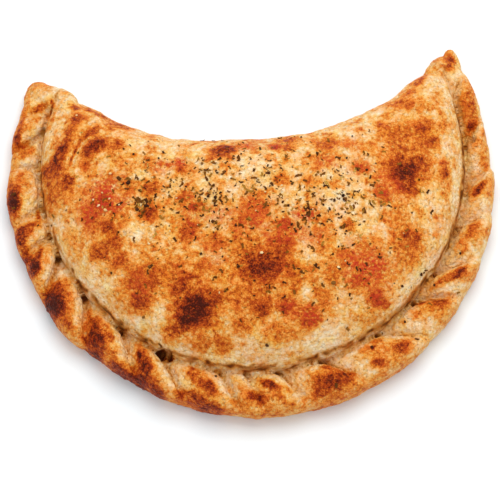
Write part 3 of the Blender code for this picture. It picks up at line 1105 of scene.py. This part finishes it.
    def _painted_crease_shade(self, skin: Skin, dough: Dough) -> np.ndarray:
        """Paints shade into the creases: between the folds, under their rims and along the seam.

        Args:
            skin: The dough's skin.
            dough: The sizes that it was made from.

        Returns:
            How much painted shade each vertex gets, deepest in a crease, from 0 to 1.
        """
        across = 1.0 - skin.inset / skin.width
        patchy = smooth_noise(skin.points, 9.0, octaves=2, seed=12)
        crumbly = smooth_noise(skin.points, 5.0, octaves=1, seed=14)
        # Painted shade, darkening where shadow falls: the valley between the pocket and the rope, deeper on
        # the right, a thin line along the seam, the foot of each fold's rim and every hollow.
        valley = soft_step(across, 0.02, 0.12) * (1.0 - soft_step(across, 0.20, 0.42))
        valley *= blend(0.05, 0.26, soft_step(skin.angle, 300.0, 330.0))
        seam_mm = np.abs(across - 0.005 - 0.03 * patchy) * skin.width
        broken = blend(soft_step(patchy, -0.60, 0.0), 1.0, 0.7 * soft_step(skin.angle, 305.0, 320.0))
        broken *= blend(1.0, 0.25, soft_step(skin.angle, 379.0, 385.0))
        broken *= blend(0.65, 1.0, soft_step(crumbly, -0.3, 0.4))
        seam = (1.0 - soft_step(seam_mm, 0.1, 1.25)) * broken * self.seam_shade_strength
        _, through = dough.rope.fold_at(skin.angle, across)
        under_rim = (1.0 - soft_step(through, 0.015, 0.085)) * soft_step(across, 0.02, 0.12)
        under_rim *= (1.0 - soft_step(across, 0.45, 0.80)) * soft_step(patchy, -0.60, 0.20)
        under_rim *= self.rim_shade_strength
        hollow = soft_step(skin.hollowness(6), 0.35, 1.6)
        hollow *= blend(0.45, 1.0, soft_step(skin.angle, 163.0, 176.0))
        return np.max([hollow, valley, seam, under_rim], axis=0) * soft_step(skin.points[:, 2], 2.0, 6.0)

    def _blister(self, body: bpy.types.Object, skin: Skin, dough: Dough, bake: np.ndarray) -> None:
        """Lifts blisters, wrinkles and the grain of the stretched dough.

        Args:
            body: The dough's object.
            skin: The dough's skin, sharpened.
            dough: The sizes that it was made from.
            bake: How brown each vertex is, which is where blisters rise.
        """
        points = skin.points
        across = 1.0 - skin.inset / skin.width
        on_rope = soft_step(across, -0.02, 0.08)
        number, through = dough.rope.fold_at(skin.angle, across)
        along_fold = 30.0 * (number + through)
        stretched = np.stack([along_fold / 1.7, skin.inset / 9.0, points[:, 2] / 12.0], axis=1)
        threads = self.thread_height * smooth_noise(stretched, 1.0, octaves=2, seed=5) * on_rope
        waves = self.wave_height * smooth_noise(points, 26.0, octaves=2, seed=6) * (1.0 - on_rope)
        lumps = self.lump_height * smooth_noise(points, 7.5, octaves=2, seed=7)
        bubbles = np.maximum(0.0, smooth_noise(points, 3.0, octaves=2, seed=8))
        bubbles *= self.blister_height + self.burnt_blister_height * soft_step(bake, 0.45, 0.95)
        grain = self.grain_height * smooth_noise(points, 1.5, octaves=1, seed=9)
        lift = waves + lumps + bubbles + grain + threads
        lift *= soft_step(points[:, 2], 0.4, 4.0)
        move_points(body, points + skin.normals * lift[:, None])


class Pattern(NamedTuple):
    """A noise texture: the size of its largest cells in mm, its detail and its roughness."""

    size: float
    detail: float
    roughness: float


@dataclass(frozen=True)
class BakedCrust:
    """Wheat dough baked on stone: cream where it is thick, golden to charred where it bulged.

    The real crust's grain is finer than a render can show, so it is drawn 0.8 mm coarse.
    """

    shades: tuple[tuple[float, str], ...] = (
        (0.00, "#FBEAC8"),
        (0.15, "#F7D6A7"),
        (0.30, "#F1BE7A"),
        (0.42, "#ECA54F"),
        (0.53, "#E3862B"),
        (0.64, "#CD6416"),
        (0.76, "#A93F06"),
        (0.88, "#7C2402"),
        (1.00, "#481201"),
    )
    speck: str = "#86450F"
    tomato: str = "#C8391A"
    yellower: str = "#FFFAD2"
    redder: str = "#FFE9DC"
    # Painted shade for the creases, from white, which leaves the colour as it is, to the darkest, multiplied
    # into the colour.
    creases: tuple[tuple[float, str], ...] = (
        (0.00, "#FFFFFF"),
        (0.35, "#EBCFA2"),
        (0.70, "#B98A50"),
        (1.00, "#5E3A16"),
    )
    flour: str = "#EBD9B8"
    sole_gold: str = "#D0A060"
    sole_brown: str = "#9A6433"
    patches: Pattern = Pattern(5.0, 3.0, 0.6)
    flecks: Pattern = Pattern(2.2, 4.0, 0.75)
    grain: Pattern = Pattern(0.8, 2.0, 0.6)
    dust: Pattern = Pattern(1.5, 1.0, 0.5)
    drift: Pattern = Pattern(9.0, 4.0, 0.7)
    scorch: Pattern = Pattern(22.0, 5.0, 0.6)
    patch_strength: float = 0.58
    fleck_strength: float = 0.42
    bubble_strength: float = 0.26
    bubble_size: float = 2.5
    sole_thickness: float = 0.4
    specular: float = 0.11

    def material(self) -> bpy.types.Material:
        """Builds the crust's material.

        Returns:
            The material, which reads the dough's bake and sauce layers and the layer of painted shade in its
            crevices.
        """
        material, tree, shader = new_material("baked wheat crust")
        place = add_node(tree, "ShaderNodeTexCoord").outputs["Object"]
        bake = add_node(tree, "ShaderNodeAttribute", {"attribute_name": "bake"}).outputs["Fac"]
        sauce = add_node(tree, "ShaderNodeAttribute", {"attribute_name": "sauce"}).outputs["Fac"]
        crevice = add_node(tree, "ShaderNodeAttribute", {"attribute_name": "crevice"}).outputs["Fac"]

        patches, flecks, grain, dust, drift, scorch = (
            add_node(
                tree,
                "ShaderNodeTexNoise",
                None,
                {
                    "Vector": place,
                    "Scale": per_mm(pattern.size),
                    "Detail": pattern.detail,
                    "Roughness": pattern.roughness,
                },
            ).outputs["Fac"]
            for pattern in (self.patches, self.flecks, self.grain, self.dust, self.drift, self.scorch)
        )
        bubbles = add_node(
            tree,
            "ShaderNodeTexVoronoi",
            {"feature": "F1"},
            {"Vector": place, "Scale": per_mm(self.bubble_size), "Detail": 1.0},
        ).outputs["Distance"]

        # The crust browns unevenly: in patches of a few millimetres, in flecks and in blisters.
        # Its grain shows most where it is darkest.
        crisp = add_node(
            tree,
            "ShaderNodeMath",
            {"operation": "MULTIPLY_ADD", "use_clamp": True},
            {0: bake, 1: 0.75, 2: 0.12},
        ).outputs[0]
        centred = add_node(tree, "ShaderNodeMath", {"operation": "SUBTRACT"}, {0: grain, 1: 0.5}).outputs[0]
        browned = add_node(
            tree, "ShaderNodeMath", {"operation": "MULTIPLY_ADD"}, {0: centred, 1: crisp, 2: bake}
        ).outputs[0]
        for layer, middle, strength in (
            (patches, 0.50, self.patch_strength),
            (flecks, 0.50, self.fleck_strength),
            (bubbles, 0.48, self.bubble_strength),
        ):
            lowered = add_node(
                tree, "ShaderNodeMath", {"operation": "SUBTRACT"}, {0: browned, 1: middle * strength}
            ).outputs[0]
            browned = add_node(
                tree, "ShaderNodeMath", {"operation": "MULTIPLY_ADD"}, {0: layer, 1: strength, 2: lowered}
            ).outputs[0]
        shade = add_node(
            tree,
            "ShaderNodeValToRGB",
            {"stops": [(at, linear(colour)) for at, colour in self.shades]},
            {"Fac": browned},
        ).outputs["Color"]

        # Specks of herb dust and burnt flour lie on it.
        dusted = add_node(
            tree,
            "ShaderNodeMapRange",
            None,
            {"Value": dust, "From Min": 0.65, "From Max": 0.72, "To Max": 0.45},
        ).outputs["Result"]
        shade = add_node(
            tree, "ShaderNodeMix", {"data_type": "RGBA"}, {0: dusted, 6: shade, 7: linear(self.speck)}
        ).outputs[2]

        # Its gold turns yellower in one place and redder in the next.
        drift_stops = ((0.34, self.yellower), (0.50, "#FFFFFF"), (0.66, self.redder))
        warmth = add_node(
            tree,
            "ShaderNodeValToRGB",
            {"stops": [(at, linear(colour)) for at, colour in drift_stops]},
            {"Fac": drift},
        ).outputs["Color"]
        shade = add_node(
            tree,
            "ShaderNodeMix",
            {"data_type": "RGBA", "blend_type": "MULTIPLY"},
            {0: 1.0, 6: shade, 7: warmth},
        ).outputs[2]

        # Tomato and oil that seeped through the dough tint it red in broken patches.
        seeped = add_node(
            tree,
            "ShaderNodeMapRange",
            None,
            {"Value": flecks, "From Min": 0.42, "From Max": 0.54, "To Max": 1.0},
        ).outputs["Result"]
        stain = add_node(tree, "ShaderNodeMath", {"operation": "MULTIPLY"}, {0: sauce, 1: seeped}).outputs[0]
        stained = add_node(
            tree, "ShaderNodeMix", {"data_type": "RGBA"}, {0: stain, 6: shade, 7: linear(self.tomato)}
        ).outputs[2]

        # Painted shade: creases, the seam and the foot of each fold's rim are darkened where shadow falls in
        # them.
        depth = add_node(
            tree,
            "ShaderNodeValToRGB",
            {"stops": [(at, linear(colour)) for at, colour in self.creases]},
            {"Fac": crevice},
        ).outputs["Color"]
        crease_shaded = add_node(
            tree,
            "ShaderNodeMix",
            {"data_type": "RGBA", "blend_type": "MULTIPLY"},
            {0: 1.0, 6: stained, 7: depth},
        ).outputs[2]

        # The underside baked against stone: matt brown with flour left on it.
        height = add_node(tree, "ShaderNodeSeparateXYZ", None, {0: place}).outputs["Z"]
        under = add_node(
            tree,
            "ShaderNodeMapRange",
            None,
            {"Value": height, "From Max": self.sole_thickness * MM, "To Min": 1.0, "To Max": 0.0},
        ).outputs["Result"]
        sole_stops = ((0.38, self.flour), (0.52, self.sole_gold), (0.68, self.sole_brown))
        sole = add_node(
            tree,
            "ShaderNodeValToRGB",
            {"stops": [(at, linear(colour)) for at, colour in sole_stops]},
            {"Fac": scorch},
        ).outputs["Color"]
        colour = add_node(
            tree, "ShaderNodeMix", {"data_type": "RGBA"}, {0: under, 6: crease_shaded, 7: sole}
        ).outputs[2]
        tree.links.new(colour, shader.inputs["Base Color"])

        # Oil makes the stained parts glisten; the dry crust is matt.
        gloss = add_node(
            tree, "ShaderNodeMapRange", None, {"Value": sauce, "To Min": 0.50, "To Max": 0.36}
        ).outputs["Result"]
        tree.links.new(gloss, shader.inputs["Roughness"])
        shader.inputs["Specular IOR Level"].default_value = self.specular

        # Blisters, then fine pimples of the crust, then its crumb-like grain.
        normal = None
        for height, distance in ((bubbles, 1.5), (flecks, 1.6), (grain, 0.6)):
            inputs = {"Height": height, "Strength": 0.8, "Distance": distance * MM}
            if normal is not None:
                inputs["Normal"] = normal
            normal = add_node(tree, "ShaderNodeBump", None, inputs).outputs["Normal"]
        tree.links.new(normal, shader.inputs["Normal"])
        return material


# ---------------------------------------------------------------- toppings


@dataclass
class Ground:
    """The dough's surface, on which the toppings land."""

    tree: BVHTree

    @classmethod
    def of(cls, body: bpy.types.Object) -> "Ground":
        """Reads the finished dough."""
        return cls(BVHTree.FromObject(body, bpy.context.evaluated_depsgraph_get()))

    def land(self, x: float, y: float) -> tuple[Vector, Vector] | None:
        """Where something dropped at this place comes to rest.

        Args:
            x: Place along X, in mm.
            y: Place along Y, in mm.

        Returns:
            The point in metres and the surface's normal, or None off the dough.
        """
        spot, normal, _, _ = self.tree.ray_cast(Vector((x * MM, y * MM, 0.2)), Vector((0.0, 0.0, -1.0)))
        if spot is None or normal.z < 0.25 or spot.z < 4.0 * MM:
            return None
        return spot, normal


@dataclass(frozen=True)
class Scatter:
    """A place where a topping lies thicker: its middle, its two half-lengths and how much falls there."""

    x: float
    y: float
    reach_x: float
    reach_y: float
    share: float


@dataclass
class Topping:
    """One kind of topping: a few model bits, copied, turned and joined into one piece.

    Bits with a place of their own are given as x, y and size. The others fall by chance.
    """

    name: str
    amount: int
    smallest: float
    largest: float
    places: tuple[Scatter, ...]
    seed: int
    models: int = 4
    sink: float = 0.15
    tilt: float = 0.35
    laid: tuple[tuple[float, float, float], ...] = ()

    def bit(self, chance: random.Random, name: str) -> bpy.types.Object:
        """Models one bit, about 1 mm long, lying on the floor. Each kind has its own."""
        raise NotImplementedError

    def make(self, ground: Ground, finish: bpy.types.Material) -> bpy.types.Object:
        """Scatters the topping over the dough.

        Args:
            ground: The dough's surface.
            finish: The topping's material.

        Returns:
            The topping, as one piece.
        """
        chance = random.Random(self.seed)
        originals = [self.bit(chance, f"{self.name}_{i}") for i in range(self.models)]
        copies = []
        for spot, normal, size in self._landings(ground, chance):
            model = chance.choice(originals)
            bit = bpy.data.objects.new("bit", model.data.copy())
            bpy.context.scene.collection.objects.link(bit)
            lean = Vector((chance.gauss(0, self.tilt), chance.gauss(0, self.tilt), 1.0)).normalized()
            upright = (normal + lean - Vector((0.0, 0.0, 1.0))).normalized()
            turned = upright.to_track_quat("Z", "Y").to_matrix().to_4x4()
            spin = Matrix.Rotation(chance.uniform(0.0, math.tau), 4, "Z")
            at = spot + normal * (self.lift_of(size) * MM)
            bit.data.transform(Matrix.Translation(at) @ turned @ spin @ Matrix.Scale(size, 4))
            tone = bit.data.attributes.new("tone", "FLOAT", "POINT")
            tone.data.foreach_set("value", [chance.random()] * len(bit.data.vertices))
            copies.append(bit)
        for original in originals:
            bpy.data.objects.remove(original)
        piece = join(copies, self.name)
        piece.data.materials.clear()
        piece.data.materials.append(finish)
        return piece

    def lift_of(self, size: float) -> float:
        """How far above the dough a bit of this size has its middle, in mm."""
        return 0.15 - self.sink * size

    def _landings(self, ground: Ground, chance: random.Random) -> Iterable[tuple[Vector, Vector, float]]:
        """Finds places on the dough for the bits. Those with a place of their own come first.

        Args:
            ground: The dough's surface.
            chance: The source of random places and sizes.

        Yields:
            For each bit its place in metres, the way up there and its size in mm.
        """
        for x, y, size in self.laid:
            landing = ground.land(x, y)
            if landing is not None:
                yield *landing, size
        weights = [place.share for place in self.places]
        for place in chance.choices(self.places, weights, k=self.amount):
            x = chance.gauss(place.x, 0.5 * place.reach_x)
            y = chance.gauss(place.y, 0.5 * place.reach_y)
            landing = ground.land(x, y)
            if landing is not None:
                yield *landing, self.smallest + (self.largest - self.smallest) * chance.random() ** 1.6


@dataclass
class Flakes(Topping):
    """Dried leaf, rubbed to flakes: thin, curled and ragged."""

    thickness: float = 0.09

    def bit(self, chance: random.Random, name: str) -> bpy.types.Object:
        """Models a flake: a small grid, pulled ragged, curled along its middle and thickened.

        Args:
            chance: The source of its random shape.
            name: The flake's name.

        Returns:
            The flake.
        """
        deselect_all()
        bpy.ops.mesh.primitive_grid_add(x_subdivisions=3, y_subdivisions=2, size=1.0 * MM)
        flake = bpy.context.object
        flake.name = name
        points = points_of(flake)
        points[:, 1] *= chance.uniform(0.35, 0.6)
        points[:, :2] += np.array([[chance.gauss(0, 0.07), chance.gauss(0, 0.07)] for _ in points])
        lengthwise, crosswise = chance.uniform(0.4, 1.1), chance.uniform(-0.9, 0.9)
        points[:, 2] = lengthwise * points[:, 0] ** 2 + crosswise * points[:, 1] ** 2
        points[:, 2] += np.array([chance.gauss(0, 0.04) for _ in points])
        move_points(flake, points)
        apply_modifier(flake, "SOLIDIFY", thickness=self.thickness * MM, offset=0.0)
        bpy.ops.object.shade_smooth_by_angle(angle=math.radians(50))
        return flake


@dataclass
class Grains(Topping):
    """Cracked grains and crumbs: small, blunt and uneven."""

    slimness: float = 0.8
    roughness: float = 0.10

    def bit(self, chance: random.Random, name: str) -> bpy.types.Object:
        """Models a grain: an icosphere, squeezed and dented so that no two faces match.

        Args:
            chance: The source of its random shape.
            name: The grain's name.

        Returns:
            The grain.
        """
        deselect_all()
        bpy.ops.mesh.primitive_ico_sphere_add(subdivisions=2, radius=0.5 * MM)
        grain = bpy.context.object
        grain.name = name
        points = points_of(grain)
        points *= 1.0 + np.array([[chance.gauss(0, self.roughness)] for _ in points])
        points[:, 1] *= self.slimness * chance.uniform(0.85, 1.1)
        points[:, 2] *= self.slimness * chance.uniform(0.75, 1.0)
        move_points(grain, points)
        bpy.ops.object.shade_smooth_by_angle(angle=math.radians(40))
        return grain

    def lift_of(self, size: float) -> float:
        """A grain lies on the dough, sunk a little into it."""
        return size * (0.5 * self.slimness - self.sink)


@dataclass(frozen=True)
class ToppingFinish:
    """The look of one topping, from one tone to another among its bits."""

    name: str
    tones: tuple[tuple[float, str], ...]
    roughness: float
    grain: float
    specular: float = 0.12

    def material(self) -> bpy.types.Material:
        """Builds the topping's material.

        Returns:
            The material, which takes each bit's tone from its tone layer.
        """
        # Dry and dull: no two bits have one tone, and fine fibres or pits run through each.
        material, tree, shader = new_material(self.name)
        place = add_node(tree, "ShaderNodeTexCoord").outputs["Object"]
        tone = add_node(tree, "ShaderNodeAttribute", {"attribute_name": "tone"}).outputs["Fac"]
        fibres = add_node(
            tree, "ShaderNodeTexNoise", None, {"Vector": place, "Scale": per_mm(self.grain), "Detail": 2.0}
        ).outputs["Fac"]
        varied = add_node(
            tree, "ShaderNodeMath", {"operation": "MULTIPLY_ADD"}, {0: fibres, 1: 0.5, 2: -0.25}
        ).outputs[0]
        mixed = add_node(tree, "ShaderNodeMath", {"operation": "ADD"}, {0: tone, 1: varied}).outputs[0]
        colour = add_node(
            tree,
            "ShaderNodeValToRGB",
            {"stops": [(at, linear(shade)) for at, shade in self.tones]},
            {"Fac": mixed},
        ).outputs["Color"]
        tree.links.new(colour, shader.inputs["Base Color"])
        shader.inputs["Roughness"].default_value = self.roughness
        shader.inputs["Specular IOR Level"].default_value = self.specular
        bump = add_node(
            tree, "ShaderNodeBump", None, {"Height": fibres, "Strength": 0.5, "Distance": 0.1 * MM}
        ).outputs["Normal"]
        tree.links.new(bump, shader.inputs["Normal"])
        return material


# ---------------------------------------------------------------- studio


@dataclass
class Studio:
    """A plain pale floor, soft light from above and behind, and the camera."""

    target: tuple[float, float, float] = (-0.5, -8.7, 0.0)
    elevation: float = 70.0
    distance: float = 2500.0
    lens: float = 314.25
    floor_size: float = 6000.0
    floor_colour: str = "#EDF2F4"
    surround_strength: float = 0.885
    lamp_place: tuple[float, float, float] = (120.0, 500.0, 1300.0)
    lamp_size: float = 1100.0
    lamp_power: float = 12.0

    def build(self) -> None:
        """Sets the floor, the lights, the camera and the view."""
        self._floor()
        self._lights()
        self._camera()
        bpy.context.scene.view_settings.view_transform = "Standard"

    def _floor(self) -> None:
        """A wide white board under the calzone."""
        deselect_all()
        bpy.ops.mesh.primitive_plane_add(size=self.floor_size * MM)
        floor = bpy.context.object
        floor.name = "studio_floor"
        # Matt white, a little cool, so that the shadow on it stays neutral.
        material, _, shader = new_material("matt white board")
        shader.inputs["Base Color"].default_value = linear(self.floor_colour)
        shader.inputs["Roughness"].default_value = 0.9
        floor.data.materials.append(material)

    def _lights(self) -> None:
        """A white surround, and a broad lamp above and behind."""
        world = bpy.data.worlds.new("white surround")
        world.use_nodes = True
        background = world.node_tree.nodes["Background"]
        background.inputs["Color"].default_value = linear("#FFFFFF")
        background.inputs["Strength"].default_value = self.surround_strength
        bpy.context.scene.world = world
        data = bpy.data.lights.new("softbox", "AREA")
        data.size = self.lamp_size * MM
        data.energy = self.lamp_power
        lamp = bpy.data.objects.new("softbox", data)
        lamp.location = Vector(self.lamp_place) * MM
        lamp.rotation_euler = (-lamp.location).to_track_quat("-Z", "Y").to_euler()
        bpy.context.scene.collection.objects.link(lamp)

    def _camera(self) -> None:
        """A long lens, which shows the calzone with almost no perspective."""
        data = bpy.data.cameras.new("camera")
        data.lens = self.lens
        data.sensor_width = 36.0
        data.clip_end = 20.0
        camera = bpy.data.objects.new("camera", data)
        lift = math.radians(self.elevation)
        back = Vector((0.0, -math.cos(lift), math.sin(lift)))
        camera.location = (Vector(self.target) + back * self.distance) * MM
        camera.rotation_euler = (-back).to_track_quat("-Z", "Y").to_euler()
        bpy.context.scene.collection.objects.link(camera)
        bpy.context.scene.camera = camera


# ---------------------------------------------------------------- the whole


class Sprinkle(enum.Enum):
    """The kinds of topping."""

    OREGANO = "dried_oregano"
    PEPPER = "cracked_pepper"
    CRUMBS = "pale_crumbs"


def toppings() -> list[tuple[Topping, ToppingFinish]]:
    """Lists what is scattered over the calzone.

    Returns:
        Every topping with its finish.
    """
    on_top = (
        Scatter(-2.0, 12.0, 88.0, 36.0, 5.0),
        Scatter(45.0, -2.0, 34.0, 26.0, 1.3),
        Scatter(-58.0, 8.0, 28.0, 24.0, 0.9),
        Scatter(-61.0, 1.0, 6.0, 6.0, 0.3),
        Scatter(-22.0, 6.0, 10.0, 6.0, 0.3),
        Scatter(0.0, -28.0, 90.0, 44.0, 1.5),
        Scatter(60.0, -40.0, 34.0, 28.0, 0.4),
        Scatter(0.0, -10.0, 150.0, 90.0, 0.6),
    )
    coarse_pepper = (
        (46, -45, 3.2), (-69, 16, 3.0), (-7, -37, 2.2), (9, -78, 2.4), (-60, -61, 2.2), (96, -33, 2.2),
        (85, -42, 2.0), (-57, -35, 2.0), (87, -59, 1.8), (68, -75, 1.8), (104, -37, 1.8), (119, -17, 1.6),
        (-20, 4, 2.4), (-24, 5, 2.0), (-59, 1, 2.6), (-64, -1, 2.4), (47, 3, 2.2), (52, 6, 2.2),
    )
    leaf_tones = (
        (0.0, "#3A1903"),
        (0.45, "#673807"),
        (0.78, "#875611"),
        (0.95, "#A57626"),
        (1.0, "#C09748"),
    )
    pepper_tones = ((0.0, "#220D03"), (0.7, "#4A2409"), (1.0, "#80531F"))
    crumb_tones = ((0.0, "#D2AC68"), (1.0, "#ECD4A0"))
    left_crumbs = ((-86, 3, 2.0), (-82, 0, 2.2), (-89, 7, 1.6), (-80, 7, 1.5), (-84, 11, 1.4), (6, -29, 2.2))
    return [
        (
            Flakes(Sprinkle.OREGANO.value, 640, 1.2, 3.2, on_top, seed=11, models=8, sink=0.06, tilt=0.3),
            ToppingFinish("dried oregano leaf", leaf_tones, roughness=0.7, grain=0.6),
        ),
        (
            Grains(Sprinkle.PEPPER.value, 130, 0.7, 1.9, on_top, seed=23, laid=coarse_pepper),
            ToppingFinish("cracked black pepper", pepper_tones, roughness=0.6, grain=0.3),
        ),
        (
            Grains(
                Sprinkle.CRUMBS.value,
                34,
                0.9,
                1.9,
                on_top,
                seed=37,
                laid=left_crumbs,
                slimness=0.7,
                roughness=0.14,
            ),
            ToppingFinish("dry pale crumbs", crumb_tones, roughness=0.6, grain=0.3),
        ),
    ]


def main() -> None:
    """Builds the calzone's pieces, dresses them and sets the studio."""
    logging.basicConfig(level=logging.INFO, format="%(name)s: %(message)s")
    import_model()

    dough = Dough()
    body = dough.build()
    Oven().finish(body, dough)
    pick(body)
    bpy.ops.object.shade_smooth()
    body.data.materials.append(BakedCrust().material())
    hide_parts(NODE)
    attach(body, "root")
    log.info("%s: %d faces", body.name, len(body.data.polygons))

    ground = Ground.of(body)
    for topping, finish in toppings():
        piece = topping.make(ground, finish.material())
        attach(piece, "root")
        log.info("%s: %d faces", piece.name, len(piece.data.polygons))

    Studio().build()


if __name__ == "__main__":
    main()
